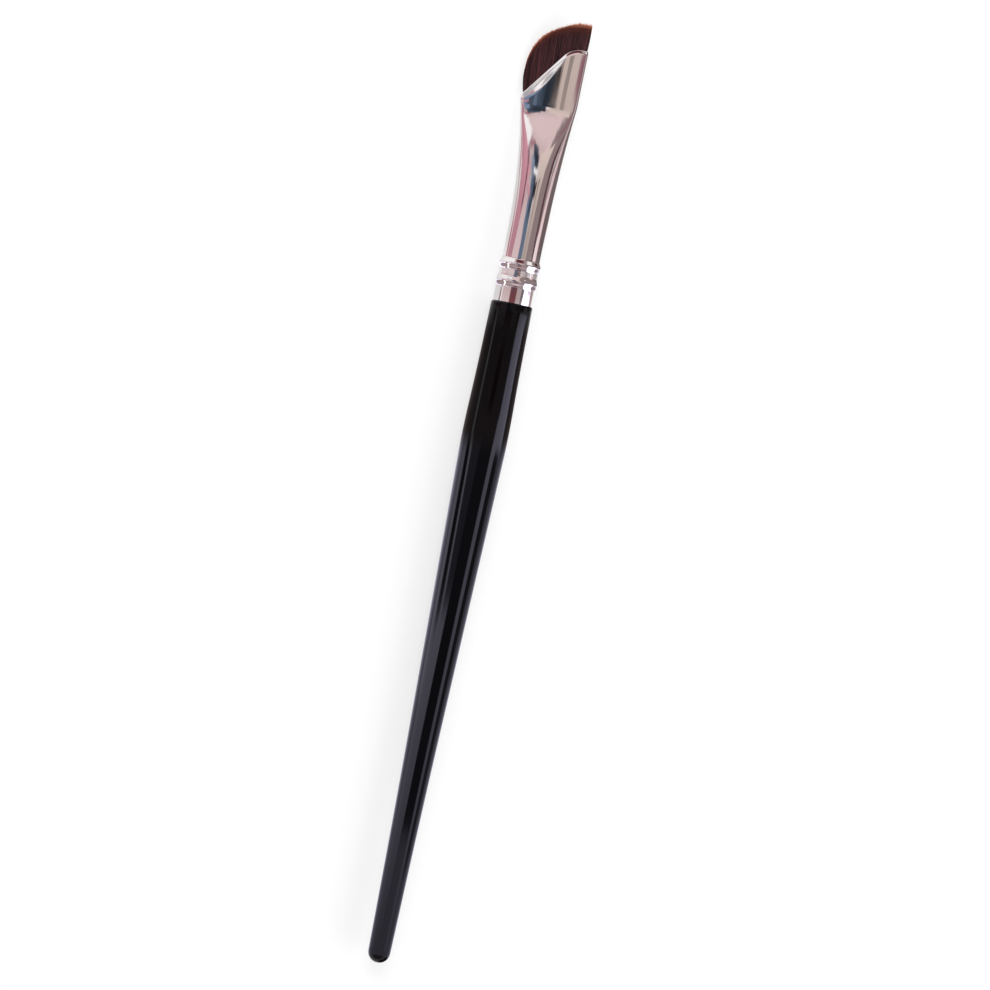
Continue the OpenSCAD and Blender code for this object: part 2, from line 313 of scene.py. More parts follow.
class BrushStageSettings(bpy.types.PropertyGroup):
    """The floor, the camera and the light."""

    camera_distance: length_prop("Camera distance", 1.0, "Distance of the camera from the brush")
    aim_x: length_prop("Aim across", 0.00406, "Place across the brush at the middle of the picture")
    aim_y: length_prop("Aim along", 0.09023, "Place along the brush at the middle of the picture")
    card_soft: length_prop("Soft ends", 0.005, "Length of a studio card's soft ends")
    card_side: bpy.props.FloatProperty(
        name="Soft sides", description="Degrees of a studio card's soft sides", default=4.5, min=0.1
    )
    floor: colour_prop("Floor", (0.8, 0.8, 0.8), "Colour of the floor")


def flare_shares(ferrule, y):
    """How far the width has opened and the thickness has closed at a distance from the tail."""
    start = FERRULE_START + ferrule.flare_at
    lip_start = FERRULE_START + ferrule.low_at - ferrule.lip
    opened = clamp((y - start) / (lip_start - start)) ** FLARE_POWER
    press_share = max(0.0, (y - start) / (FERRULE_START + ferrule.press_at - start))
    return opened, max(0.0, lesser(press_share ** PRESS_POWER, 1.0, CREASE_SOFT))


def mouth_at(ferrule, x):
    """Place of the mouth along the brush, for a place across it."""
    knee = -ferrule.left + (ferrule.high_at - ferrule.low_at) / math.tan(MOUTH_SLANT)
    run = ferrule.mouth_round * math.tan(MOUTH_SLANT / 2)
    high = FERRULE_START + ferrule.high_at
    if x < knee - run * math.cos(MOUTH_SLANT):
        return FERRULE_START + ferrule.low_at + (x + ferrule.left) * math.tan(MOUTH_SLANT)
    if x > knee + run:
        return high
    return high - ferrule.mouth_round + math.sqrt(ferrule.mouth_round ** 2 - (x - knee - run) ** 2)


def crowned_quarter(share, width, half, crown_r):
    """First quarter of a flat section with a slight crown and round ends, by its share of the way round."""
    end_r = (width ** 2 + half ** 2 - 2 * crown_r * half) / (2 * (width - crown_r))
    edge = math.asin((width - end_r) / (crown_r - end_r))
    bend = end_r * (math.pi / 2 - edge)
    run = share * (bend + crown_r * edge)
    if run < bend:
        return width - end_r + end_r * math.cos(run / end_r), end_r * math.sin(run / end_r)
    angle = edge - (run - bend) / crown_r
    return crown_r * math.sin(angle), half - crown_r + crown_r * math.cos(angle)


def section_point(turn, left, right, half, share, crown_r):
    """A point of a section between an ellipse and a crowned flat. Turn goes once round, 0 to 1."""
    quarter = int(turn * 4) % 4
    along = turn * 4 - int(turn * 4)
    part = along if quarter % 2 == 0 else 1 - along
    width = (left + right) / 2
    x = width * math.cos(part * math.pi / 2)
    z = half * math.sin(part * math.pi / 2)
    if share > 0:
        flat_x, flat_z = crowned_quarter(part, width, half, crown_r)
        x = mix(x, flat_x, share)
        z = mix(z, flat_z, share)
    side = 1 if quarter in (0, 3) else -1
    face = 1 if quarter < 2 else -1
    return (right - left) / 2 + side * x, face * z


def ferrule_section(ferrule, turn, y, inset, side_inset=None):
    """A point of the ferrule's section at a distance from the tail, moved inwards by an inset."""
    side_inset = inset if side_inset is None else side_inset
    opened, closed = flare_shares(ferrule, y)
    x, z = section_point(
        turn,
        mix(ferrule.tube_r, ferrule.left, opened) - side_inset,
        mix(ferrule.tube_r, ferrule.right, opened) - side_inset,
        mix(ferrule.tube_r, ferrule.half, closed) - inset,
        closed,
        ferrule.crown_r - inset,
    )
    middle = (ferrule.right - ferrule.left) / 2
    return x, z * (1 + ferrule.wedge * closed * (x - middle) / ((ferrule.left + ferrule.right) / 2))


def ring_rise(ferrule, y):
    """Height of the two raised rings at a distance from the tail."""
    rise = 0.0
    for centre in (ferrule.ring_at, ferrule.ring_at + ferrule.ring_pitch):
        away = (y - FERRULE_START - centre) / ferrule.ring_width
        if abs(away) < 0.5:
            rise += ferrule.ring_rise * (1 + math.cos(2 * math.pi * away)) / 2
    return rise


def spin_outline(outline, count, closed):
    """A mesh turned round the brush's middle from an outline of (radius, distance from the tail)."""
    bm = bmesh.new()
    points = [bm.verts.new((radius, y, 0)) for radius, y in outline]
    for a, b in zip(points, points[1:]):
        bm.edges.new((a, b))
    if closed:
        bm.edges.new((points[-1], points[0]))
    bmesh.ops.spin(
        bm,
        geom=bm.verts[:] + bm.edges[:],
        cent=(0, 0, 0),
        axis=(0, 1, 0),
        dvec=(0, 0, 0),
        angle=2 * math.pi,
        steps=count,
        use_merge=True,
    )
    bmesh.ops.remove_doubles(bm, verts=bm.verts[:], dist=1e-7)
    bmesh.ops.recalc_face_normals(bm, faces=bm.faces[:])
    return bm


def finish_piece(bm, name, material, nodes, sharp_angle=None):
    """Lays a straight piece down, makes it an object, hangs it on the body and hides the solids that it
    replaces.
    """
    bm.transform(BRUSH)
    mesh = bpy.data.meshes.new(name)
    bm.to_mesh(mesh)
    bm.free()
    for polygon in mesh.polygons:
        polygon.use_smooth = True
    if sharp_angle is not None:
        mesh.set_sharp_from_angle(angle=sharp_angle)
    mesh.materials.append(material)
    piece = bpy.data.objects.new(name, mesh)
    bpy.context.scene.collection.objects.link(piece)
    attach(piece, BODY)
    if nodes:
        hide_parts(*nodes)
    return piece


def start_material(name):
    """A new material with its node tree and its main shader."""
    material = bpy.data.materials.new(name)
    material.use_nodes = True
    tree = material.node_tree
    return material, tree, tree.nodes["Principled BSDF"]


def add_noise(tree, scale, stretch, detail, roughness=0.5):
    """Noise on Object coordinates, stretched by a scale along each axis."""
    place = tree.nodes.new("ShaderNodeTexCoord")
    mapping = tree.nodes.new("ShaderNodeMapping")
    mapping.inputs["Scale"].default_value = stretch
    texture = tree.nodes.new("ShaderNodeTexNoise")
    texture.inputs["Scale"].default_value = scale
    texture.inputs["Detail"].default_value = detail
    texture.inputs["Roughness"].default_value = roughness
    tree.links.new(place.outputs["Object"], mapping.inputs["Vector"])
    tree.links.new(mapping.outputs["Vector"], texture.inputs["Vector"])
    return texture.outputs["Fac"]


def add_range(tree, value, low, high, start=0.0, end=1.0):
    """Brings a value from the range start to end into the range low to high."""
    node = tree.nodes.new("ShaderNodeMapRange")
    node.inputs["From Min"].default_value = start
    node.inputs["From Max"].default_value = end
    node.inputs["To Min"].default_value = low
    node.inputs["To Max"].default_value = high
    tree.links.new(value, node.inputs["Value"])
    return node.outputs["Result"]


def add_mix(tree, share, first, second):
    """Mixes two colours, each a colour or the output of a node, by a share."""
    node = tree.nodes.new("ShaderNodeMix")
    node.data_type = "RGBA"
    tree.links.new(share, node.inputs["Factor"])
    for socket, colour in ((node.inputs[6], first), (node.inputs[7], second)):
        if isinstance(colour, bpy.types.NodeSocket):
            tree.links.new(colour, socket)
        else:
            socket.default_value = (*colour, 1)
    return node.outputs[2]


def add_bump(tree, height, strength, distance, shader, below=None):
    """Raises the surface by a height, on top of another bump where one is given."""
    node = tree.nodes.new("ShaderNodeBump")
    node.inputs["Strength"].default_value = strength
    node.inputs["Distance"].default_value = distance
    tree.links.new(height, node.inputs["Height"])
    if below:
        tree.links.new(below, node.inputs["Normal"])
    tree.links.new(node.outputs["Normal"], shader.inputs["Normal"])
    return node.outputs["Normal"]


def add_attribute(tree, name):
    """Reads an attribute of the piece's own mesh, split into its three values."""
    node = tree.nodes.new("ShaderNodeAttribute")
    node.attribute_name = name
    split = tree.nodes.new("ShaderNodeSeparateColor")
    tree.links.new(node.outputs["Color"], split.inputs["Color"])
    return split.outputs["Red"], split.outputs["Green"], split.outputs["Blue"]


def make_lacquer(handle):
    """Deep black gloss lacquer with a faint brown cloud, thinner and reddish at the very tail."""
    material, tree, shader = start_material("black_lacquer")
    tail = add_attribute(tree, "tail")[0]
    cloud = add_noise(tree, 180, (1, 0.15, 1), 4)
    brown = tuple(value * 1.9 for value in handle.lacquer)
    body = add_mix(tree, add_range(tree, cloud, 0, 1, 0.45, 0.7), handle.lacquer, brown)
    tree.links.new(add_mix(tree, tail, body, handle.worn), shader.inputs["Base Color"])
    smear = add_noise(tree, 300, (1, 0.1, 1), 3)
    tree.links.new(add_range(tree, smear, 0.05, 0.11, 0.3, 0.7), shader.inputs["Roughness"])
    shader.inputs["Specular IOR Level"].default_value = 0.2
    flow = add_noise(tree, 160, (1, 0.12, 1), 2)
    first = add_bump(tree, flow, 0.2, 0.00008, shader)
    dust = add_noise(tree, 2600, (1, 1, 1), 2)
    add_bump(tree, add_range(tree, dust, 0, 1, 0.74, 0.8), 0.4, 0.00003, shader, first)
    return material


def make_bright_metal(ferrule):
    """Plated metal, polished, with the faint lengthwise waves and hairlines of a drawn tube."""
    material, tree, shader = start_material("bright_plated_metal")
    shader.inputs["Metallic"].default_value = 1.0
    tint = add_noise(tree, 220, (1, 0.2, 1), 3)
    warm = (ferrule.metal[0], ferrule.metal[1] * 0.97, ferrule.metal[2] * 0.975)
    tree.links.new(add_mix(tree, tint, ferrule.metal, warm), shader.inputs["Base Color"])
    haze = add_noise(tree, 500, (1, 0.12, 1), 4)
    tree.links.new(add_range(tree, haze, 0.035, 0.10, 0.35, 0.7), shader.inputs["Roughness"])
    wave = add_noise(tree, 420, (1, 0.06, 1), 2)
    first = add_bump(tree, wave, 0.3, 0.0001, shader)
    streak = add_noise(tree, 1900, (1, 0.035, 1), 2)
    second = add_bump(tree, streak, 0.3, 0.00002, shader, first)
    line = add_noise(tree, 6000, (1, 0.01, 1), 2)
    add_bump(tree, line, 0.12, 0.000008, shader, second)
    return material


def make_hair_material(hair):
    """Dark brown filaments, each a little different, with rust-coloured tips."""
    material, tree, shader = start_material("brown_filament")
    tip, lock, single = add_attribute(tree, "strand")
    body = add_mix(tree, lock, hair.shade, hair.body)
    lighter = tuple(min(1.0, value * 2.2) for value in hair.body)
    varied = add_mix(tree, add_range(tree, single, 0, 1, 0.55, 1.0), body, lighter)
    warmed = add_mix(tree, add_range(tree, tip, 0, 1, 0.1, 0.6), varied, hair.rust)
    coloured = add_mix(tree, add_range(tree, tip, 0, 1, 0.6, 0.95), warmed, hair.tip)
    tree.links.new(coloured, shader.inputs["Base Color"])
    shader.inputs["Roughness"].default_value = 0.42
    shader.inputs["Specular IOR Level"].default_value = 0.4
    return material


def make_glue_material():
    """Set amber glue with small clouds and a hardened skin."""
    material, tree, shader = start_material("amber_glue")
    cloud = add_noise(tree, 700, (1, 1, 1), 4)
    amber = add_mix(tree, cloud, GLUE_DEEP, GLUE_PALE)
    tree.links.new(amber, shader.inputs["Base Color"])
    shader.inputs["Roughness"].default_value = 0.3
    shader.inputs["Subsurface Weight"].default_value = 0.15
    shader.inputs["Subsurface Scale"].default_value = 0.001
    add_bump(tree, add_noise(tree, 1500, (1, 1, 1), 3), 0.4, 0.00008, shader)
    return material


class BRUSH_OT_handle(bpy.types.Operator):
    """Turn the handle from the outline of its solid and lacquer it"""

    bl_idname = "eyeliner.make_handle"
    bl_label = "Make Handle"

    def execute(self, context):
        handle = context.scene.brush_handle
        solid = turned_outline("handle")
        outline = []
        for (r0, y0), (r1, y1) in zip(solid, solid[1:]):
            cuts = max(1, math.ceil(abs(y1 - y0) / handle.ring_gap))
            outline += [(mix(r0, r1, k / cuts), mix(y0, y1, k / cuts)) for k in range(cuts)]
        outline.append(solid[-1])
        outline.append((0.0, solid[-1][1]))
        bm = spin_outline(outline, handle.turn_count, closed=False)
        tail = bm.verts.layers.float_color.new("tail")
        for vertex in bm.verts:
            share = clamp(1 - vertex.co.y / WORN_LENGTH) ** 2
            vertex[tail] = (share, share, share, 1)
        lacquer = make_lacquer(handle)
        finish_piece(bm, "lacquered_handle", lacquer, ["handle"], LACQUER_SHARP)
        return {"FINISHED"}


class BRUSH_OT_ferrule(bpy.types.Operator):
    """Spin the ferrule as a straight tube, then press its end flat and cut its mouth at a slant"""

    bl_idname = "eyeliner.make_ferrule"
    bl_label = "Make Ferrule"

    def outside(self, ferrule):
        """The straight tube's outside as (radius, distance from the tail, inset), up to the lip's edge."""
        start = FERRULE_START
        flare = start + ferrule.flare_at
        press = start + ferrule.press_at
        lip_start = start + ferrule.low_at - ferrule.lip
        near_lip = lip_start - NEAR_LIP
        step_from = start + ferrule.ring_at + ferrule.ring_pitch
        points = []
        for y in steps(start, flare, COLLAR_RINGS):
            radius = mix(ferrule.collar_r, ferrule.tube_r, ease((y - step_from) / (ferrule.ring_width / 2)))
            points.append((radius + ring_rise(ferrule, y), y))
        points += [(ferrule.tube_r, y) for y in steps(flare, press, FLARE_RINGS)[1:]]
        points += [(ferrule.tube_r, y) for y in steps(press, near_lip, FLAT_RINGS)[1:]]
        points += [(ferrule.tube_r, y) for y in steps(near_lip, lip_start, NEAR_LIP_RINGS)[1:]]
        for share in [math.sin(math.pi / 2 * k / LIP_RINGS) for k in range(1, LIP_RINGS + 1)]:
            fall = LIP_CONE * share + (1 - LIP_CONE) * (1 - math.sqrt(1 - share ** 2))
            radius = ferrule.tube_r - fall * (ferrule.wall - ferrule.lip_edge)
            points.append((radius, lip_start + ferrule.lip * share))
        return points

    def inside(self, ferrule):
        """The straight tube's inside as (radius, distance from the tail), down from the mouth."""
        bore = ferrule.tube_r - ferrule.wall
        start = FERRULE_START
        flare = start + ferrule.flare_at
        press = start + ferrule.press_at
        thin = ferrule.tube_r - ferrule.wall + ferrule.lip_edge * 0.5
        points = [(thin, start + ferrule.low_at)]
        lip_start = start + ferrule.low_at - ferrule.lip
        points += [(bore, y) for y in steps(lip_start, press, INNER_FLAT_RINGS)]
        points += [(bore, y) for y in steps(press, flare, INNER_FLARE_RINGS)[1:]]
        collar = steps(flare, start, INNER_COLLAR_RINGS)[1:]
        points += [(bore + ring_rise(ferrule, y), y) for y in collar]
        return points

    def press(self, ferrule, vertex):
        """Moves one corner of the straight tube to where the press leaves it."""
        straight_y = vertex.co.y
        if straight_y < FERRULE_START + ferrule.flare_at:
            return
        turn = (math.atan2(vertex.co.z, vertex.co.x) / (2 * math.pi)) % 1.0
        inset = ferrule.tube_r - math.hypot(vertex.co.x, vertex.co.z)
        press_y = FERRULE_START + ferrule.press_at
        low_y = FERRULE_START + ferrule.low_at
        y = straight_y
        side_inset = inset
        rolled = 0.0
        if straight_y > press_y:
            across = ferrule_section(ferrule, turn, low_y, 0)[0]
            mouth = mouth_at(ferrule, across)
            narrow = mix(1.0, ferrule.lip_narrow, ease((across + ferrule.left) / ferrule.left))
            stretch = self.lip_stretch(ferrule, turn) * narrow
            lip_start = mouth - ferrule.lip * stretch
            share = (straight_y - press_y) / (low_y - ferrule.lip - press_y)
            y = mouth - (low_y - straight_y) * stretch
            if share <= 1:
                y = mix(press_y, lip_start, share)
            below = (lip_start - y) / stretch
            slant = clamp((across + ferrule.left) / (ferrule.left + FACET_END)) ** FACET_LEAN
            facet = ferrule.facet_width * math.sin(math.pi * slant) ** FACET_POWER
            rolled = -ferrule.facet_slope * lesser(max(0.0, below) - facet, 0.0, FACET_SOFT)
            rolled += ferrule.groove * math.exp(-((below - GROOVE_AT) / GROOVE_WIDTH) ** 2)
            if inset < ferrule.wall * 0.9:
                side_inset = inset * ferrule.side_bevel
        x, z = ferrule_section(ferrule, turn, y, inset, side_inset)
        vertex.co = (x, y, z * (1 - rolled / ferrule.half))

    def lip_stretch(self, ferrule, turn):
        """How much longer a step square to the lip is when it is measured along the brush."""
        low_y = FERRULE_START + ferrule.low_at
        ax, az = ferrule_section(ferrule, (turn - LIP_STEP) % 1.0, low_y, 0)
        bx, bz = ferrule_section(ferrule, (turn + LIP_STEP) % 1.0, low_y, 0)
        rise = mouth_at(ferrule, bx) - mouth_at(ferrule, ax)
        return math.sqrt(1 + (rise / math.hypot(bx - ax, bz - az)) ** 2)

    def execute(self, context):
        ferrule = context.scene.brush_ferrule
        outline = self.outside(ferrule) + self.inside(ferrule)
        bm = spin_outline(outline, ferrule.turn_count, closed=True)
        for vertex in bm.verts:
            self.press(ferrule, vertex)
        metal = make_bright_metal(ferrule)
        finish_piece(bm, "bright_ferrule", metal, ["ferrule"], METAL_SHARP)
        return {"FINISHED"}


class BRUSH_OT_hair(bpy.types.Operator):
    """Grow the tuft hair by hair, from inside the mouth to the crescent tip"""

    bl_idname = "eyeliner.make_hair"
    bl_label = "Make Hair"

    def template(self):
        """One straight three-sided hair of unit length and radius, closed at its tip."""
        bm = bmesh.new()
        bmesh.ops.create_cone(
            bm,
            cap_ends=False,
            segments=3,
            radius1=1,
            radius2=1,
            depth=1,
            matrix=Matrix.Translation((0, 0, 0.5)),
        )
        lengthwise = [edge for edge in bm.edges if abs(edge.verts[0].co.z - edge.verts[1].co.z) > 0.5]
        bmesh.ops.subdivide_edges(bm, edges=lengthwise, cuts=HAIR_CUTS)
        top = [edge for edge in bm.edges if edge.is_boundary and edge.verts[0].co.z > 0.5]
        bmesh.ops.contextual_create(bm, geom=top)
        return bm

    def tip_y(self, hair, x):
        """Place of the crescent tip along the brush, for a place across it."""
        radius = hair.left + hair.crest_x
        return BRUSH_LENGTH - radius + math.sqrt(max(0.0, radius ** 2 - (x - hair.crest_x) ** 2))

    def plan(self, ferrule, hair, rng):
        """Where one hair starts and ends, and its chance differences."""
        inset = ferrule.wall + HAIR_GAP
        left, right = hair.mouth_left, ferrule.right - ferrule.wall * HIGH_WALL
        half = ferrule.half - inset - ferrule.facet_slope * ferrule.facet_width
        across = rng.uniform(-1, 1)
        depth = rng.uniform(-1, 1)
        depth = math.copysign(abs(depth) ** FACE_CROWD, depth)
        root_x = mix(-left, right, (across + 1) / 2)
        width = (left + right) / 2
        centre = (right - left) / 2
        side = clamp((abs(root_x - centre) - (width - half)) / half)
        root_z = depth * half * math.sqrt(max(0.02, 1 - side ** 2)) * ROOT_FILL
        tip_x = mix(-hair.left, right, (across + 1) / 2)
        lock = noise.noise(Vector((root_x * LOCK_ACROSS, root_z * LOCK_THROUGH, LOCK_SLICE)))
        tip_x += LOCK_SHIFT * lock + rng.gauss(0, STRAY_ACROSS)
        tip_z = depth * mix(hair.tip_half, hair.edge_half, 0.5) + rng.gauss(0, STRAY_THROUGH)
        short = abs(rng.gauss(0, STRAY_SHORT)) + LOCK_SHORT * (lock + 0.5) - ALL_LONGER
        if rng.random() < LONG_CHANCE:
            short -= rng.uniform(LONG_LEAST, LONG_MOST)
        short += DIP_DEPTH * math.exp(-((tip_x - DIP_X) / DIP_WIDTH) ** 2)
        return {
            "root": (root_x, root_z),
            "tip": (max(-hair.left, tip_x), tip_z),
            "short": short,
            "lock": clamp(0.5 + 0.9 * lock),
            "single": rng.random(),
            "radius": hair.hair_r * rng.uniform(0.85, 1.15),
            "turn": rng.uniform(0, 2 * math.pi),
            "bow": rng.gauss(0, BOW),
        }

    def point_on(self, ferrule, hair, plan, share):
        """A point on a hair's middle line, with the share of the way from the mouth to the tip."""
        root_x, root_z = plan["root"]
        tip_x, tip_z = plan["tip"]
        mouth = mouth_at(ferrule, root_x)
        start = mouth - hair.hidden
        end = self.tip_y(hair, tip_x) - plan["short"]
        y = mix(start, end, share)
        out = clamp((y - mouth) / (end - mouth))
        spread = math.sin(math.pi / 2 * clamp(out / SPREAD_SHARE))
        x = mix(root_x, tip_x, spread) + plan["bow"] * math.sin(math.pi * out)
        pull = PULL_LOW if root_x < 0 else PULL_HIGH
        x += max(0.0, mouth - y) * pull * -root_x / hair.left
        z = mix(root_z, tip_z, ease(out * TIP_CLOSE))
        return Vector((x, y, z)), end - y

    def execute(self, context):
        ferrule = context.scene.brush_ferrule
        hair = context.scene.brush_hair
        rng = random.Random(hair.seed)
        bm = self.template()
        number = bm.verts.layers.int.new("number")
        for doubling in range(hair.doublings):
            copies = bmesh.ops.duplicate(bm, geom=bm.verts[:] + bm.edges[:] + bm.faces[:])["geom"]
            for element in copies:
                if isinstance(element, bmesh.types.BMVert):
                    element[number] += 2 ** doubling
        plans = [self.plan(ferrule, hair, rng) for _ in range(2 ** hair.doublings)]
        strand = bm.verts.layers.float_color.new("strand")
        for vertex in bm.verts:
            plan = plans[vertex[number]]
            share = vertex.co.z ** CUT_POWER
            angle = math.atan2(vertex.co.y, vertex.co.x) + plan["turn"]
            middle, left_over = self.point_on(ferrule, hair, plan, share)
            radius = plan["radius"] * mix(TAPER_END, 1.0, ease(left_over / TAPER_LENGTH))
            vertex.co = middle + Vector((math.cos(angle), 0, math.sin(angle))) * radius
            outline = self.tip_y(hair, middle.x) - middle.y
            tip = clamp(1 - max(left_over, outline) / hair.tip_length)
            vertex[strand] = (tip, plan["lock"], plan["single"], 1)
        bm.verts.layers.int.remove(bm.verts.layers.int["number"])
        bmesh.ops.recalc_face_normals(bm, faces=bm.faces[:])
        finish_piece(bm, "tuft_of_hair", make_hair_material(hair), ["bristles"])
        return {"FINISHED"}


class BRUSH_OT_glue(bpy.types.Operator):
    """Give the set glue inside the ferrule its amber finish"""

    bl_idname = "eyeliner.finish_glue"
    bl_label = "Finish Glue"

    def execute(self, context):
        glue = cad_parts["glue_plug"]
        material = make_glue_material()
        for slot in glue.material_slots:
            slot.material = material
        return {"FINISHED"}


# The plain colours and the tones that the studio cards take
CARD_COLOURS = {
    "white": (1.0, 1.0, 1.0),
    "blush": (1.0, 0.78, 0.78),
    "rose": (1.0, 0.5, 0.6),
    "red": (1.0, 0.35, 0.4),
    "slate": (0.5, 0.7, 1.0),
    "lilac": (0.8, 0.78, 1.0),
    "sand": (1.0, 0.84, 0.76),
}
CARD_TONES = {
    "lamp": 4.5,
    "glow": 1.6,
    "white": 1.0,
    "bright": 0.75,
    "mid": 0.45,
    "dim": 0.28,
    "dark": 0.12,
    "black": 0.04,
}

# Studio cards round the brush, seen only in its gloss. Each is a name, the angles round the brush
# between which it stands (0 is over the flat face, more goes to the high side), its ends along the
# brush in metres from the tail, its distance from the brush, its twist in degrees from its lower to
# its upper end, its colour, and its tone at its lower and at its upper end. The studio can't be
# known, so the cards' places and tones are fitted to the bands of light that the photograph shows
CARDS = [
    ("navy", -24, 1, 0.14, 0.196, 0.251, -4, "slate", "dim", "dark"),
    ("navy_top", -24, -9, 0.2, 0.248, 0.25, 0, "slate", "dark", "dark"),
    ("slate", -30, -20, 0.15, 0.222, 0.248, 3, "slate", "dim", "mid"),
    ("deep_navy", -20, -4, 0.16, 0.236, 0.247, 0, "slate", "dark", "black"),
    ("flat_blue", -23, -8, 0.168, 0.197, 0.246, 0, "slate", "dark", "dark"),
    ("flat_navy", -16, 2, 0.176, 0.197, 0.2465, 0, "slate", "black", "black"),
    ("flat_streak", -17, -14, 0.17, 0.2, 0.2455, 0, "slate", "dim", "dim"),
    ("flat_rose", -44, -19, 0.172, 0.182, 0.2445, 0, "rose", "mid", "bright"),
    ("strip_light", -20, -3, 0.162, 0.166, 0.06, 0, "white", "white", "white"),
    ("mauve", -64, -14, 0.14, 0.205, 0.257, 22, "blush", "bright", "mid"),
    ("mauve_upper", -42, -6, 0.194, 0.275, 0.258, 20, "blush", "mid", "bright"),
    ("rose", -104, -62, 0.14, 0.2, 0.252, 32, "rose", "mid", "bright"),
    ("rose_line", -63, -57, 0.157, 0.205, 0.249, 20, "rose", "dark", "dim"),
    ("rose_line_upper", -44, -40, 0.198, 0.25, 0.249, 24, "rose", "dim", "mid"),
    ("pale_wedge", -50, -30, 0.212, 0.264, 0.2495, 10, "white", "white", "white"),
    ("crimson", -114, -101, 0.14, 0.155, 0.249, 0, "red", "mid", "mid"),
    ("cream", -180, -70, 0.145, 0.3, 0.268, 0, "white", "bright", "white"),
    ("warm", -4, 28, 0.14, 0.245, 0.255, 0, "sand", "mid", "bright"),
    ("umber", -1, 4, 0.176, 0.2, 0.245, 0, "blush", "black", "black"),
    ("taupe_line", 8, 14, 0.14, 0.202, 0.245, 0, "sand", "mid", "dim"),
    ("taupe", 22, 66, 0.14, 0.235, 0.256, 0, "blush", "dim", "dim"),
    ("plum", 61, 76, 0.14, 0.205, 0.25, -14, "rose", "dark", "dark"),
    ("flat_plum", 24, 60, 0.166, 0.18, 0.03, 0, "rose", "dim", "dim"),
    ("beige", 76, 102, 0.14, 0.2, 0.252, 0, "blush", "white", "mid"),
    ("grey_edge", 96, 160, 0.14, 0.2, 0.25, 0, "blush", "dark", "dim"),
    ("far_grey", 66, 180, 0.15, 0.42, 0.27, 0, "blush", "dim", "dim"),
    ("pale_mauve", -34, 19, 0.226, 0.35, 0.262, 0, "blush", "bright", "bright"),
    ("far_taupe", 4, 56, 0.222, 0.36, 0.264, 0, "blush", "dim", "dim"),
    ("far_plum", 44, 84, 0.186, 0.36, 0.266, 0, "blush", "dim", "dim"),
    ("facet_grey", -66, -31, 0.234, 0.28, 0.249, 0, "white", "mid", "mid"),
    ("collar_cream", -180, -92, 0.131, 0.144, 0.256, 0, "white", "bright", "bright"),
    ("collar_line", -96, -78, 0.131, 0.14, 0.252, 0, "red", "dark", "dark"),
    ("collar_mauve", -76, -14, 0.131, 0.144, 0.254, 0, "blush", "bright", "mid"),
    ("collar_red", -26, 16, 0.118, 0.146, 0.2525, 0, "red", "dim", "dark"),
    ("collar_navy", -17, -2, 0.1375, 0.144, 0.252, 0, "slate", "dark", "dark"),
    ("collar_beige", 0, 42, 0.131, 0.144, 0.2545, 0, "blush", "mid", "mid"),
    ("collar_taupe", 38, 58, 0.131, 0.144, 0.253, 0, "blush", "dark", "dark"),
    ("collar_white", 60, 84, 0.131, 0.14, 0.252, 0, "white", "white", "white"),
    ("collar_grey", 82, 140, 0.131, 0.144, 0.2525, 0, "blush", "mid", "dim"),
    ("high_red", -34, 26, 0.3, 0.9, 0.275, 0, "red", "dark", "dark"),
    ("high_white", 46, 88, 0.3, 0.9, 0.262, 0, "white", "white", "white"),
    ("high_mauve", -46, 48, 0.34, 0.9, 0.28, 0, "blush", "mid", "mid"),
    ("high_brown", 108, 175, 0.26, 0.9, 0.268, 0, "blush", "black", "black"),
    ("low_mauve", -80, 54, -1.9, -0.11, 0.5, 0, "blush", "mid", "mid"),
    ("low_brown", 96, 175, -1.9, -0.11, 0.5, 0, "blush", "black", "black"),
    ("black_flag", -52, 56, -0.004, 0.1335, 0.255, 0, "lilac", "dark", "dim"),
    ("tail_light", -110, 110, -0.17, 0.004, 0.258, 0, "lilac", "glow", "glow"),
    ("neck_flag", -165, 50, 0.0965, 0.1275, 0.05, 0, "blush", "mid", "dim"),
    ("neck_red", -14, 10, 0.106, 0.122, 0.047, 0, "red", "dark", "dark"),
    ("neck_thread", -69, -58, 0.0965, 0.128, 0.046, -8, "white", "glow", "glow"),
    ("neck_light", 52, 94, 0.0965, 0.1262, 0.048, 6, "lilac", "lamp", "lamp"),
    ("neck_right", 94, 165, 0.0965, 0.1275, 0.05, 0, "blush", "dim", "dim"),
    ("left_low", -104, -24, -0.03, 0.052, 0.253, 14, "lilac", "glow", "lamp"),
    ("left_dim", -52, -10, 0.04, 0.1335, 0.254, 0, "lilac", "mid", "bright"),
    ("left_thread", -51, -41, 0.044, 0.11, 0.249, -20, "lilac", "lamp", "lamp"),
    ("left_flag", -80, -55, 0.046, 0.13, 0.2495, -14, "lilac", "dark", "dark"),
    ("left_edge", -104, -80, 0.03, 0.1335, 0.252, 0, "lilac", "lamp", "glow"),
    ("left_light", -165, -92, -0.1, 0.128, 0.256, 0, "lilac", "glow", "glow"),
    ("right_thread", 43, 71, -0.06, 0.118, 0.252, 2, "lilac", "glow", "lamp"),
    ("right_band", 46, 104, 0.092, 0.1385, 0.251, 8, "lilac", "lamp", "lamp"),
    ("right_flag", 66, 98, -0.01, 0.098, 0.25, 0, "lilac", "mid", "dark"),
    ("right_light", 92, 165, -0.1, 0.12, 0.254, 0, "lilac", "glow", "white"),
    ("right_dark", 98, 140, 0.118, 0.1335, 0.25, 0, "lilac", "dim", "dark"),
]


# Each card's faces round the brush, and the degrees by which a corner may lie outside its first side
CARD_STEPS = 36
ANGLE_SLACK = 5

# Lamps, each a name, a place, the width of its square and its watts
LAMPS = [
    ("key_lamp", (-0.5, 0.5, 0.9), 0.6, 6.0),
    ("fill_lamp", (0.7, -0.3, 0.8), 0.8, 4.0),
]

